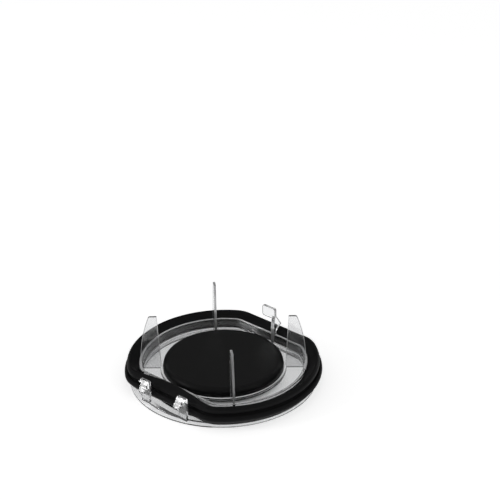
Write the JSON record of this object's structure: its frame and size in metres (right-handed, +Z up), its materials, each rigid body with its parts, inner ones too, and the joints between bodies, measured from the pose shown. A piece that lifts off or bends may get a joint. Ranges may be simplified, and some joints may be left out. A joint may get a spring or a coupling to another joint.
{
  "type": "vacuum dust bin base",
  "caption": "Clear round bottom lid of a handheld vacuum's dust bin, with a two-lipped rubber rim seal, a rubber centre pad, upright fins, hinge hooks and a catch.",
  "frame": {"origin": "centre of the flange's underside, on the face that is the outside of the closed bin", "axes": "+Z up into the bin, -Y towards the hinge hooks, +Y towards the catch"},
  "size_m": [0.1082, 0.1028, 0.0378],
  "materials": {
    "clear_plastic": "clear, polished",
    "seal_rubber": "satin, soft moulded lips",
    "pad_rubber": "satin, faintly grained"
  },
  "bodies": {
    "root": {"base_plate": "clear_plastic", "rim_seal": "seal_rubber", "centre_seal": "pad_rubber"}
  },
  "joints": []
}
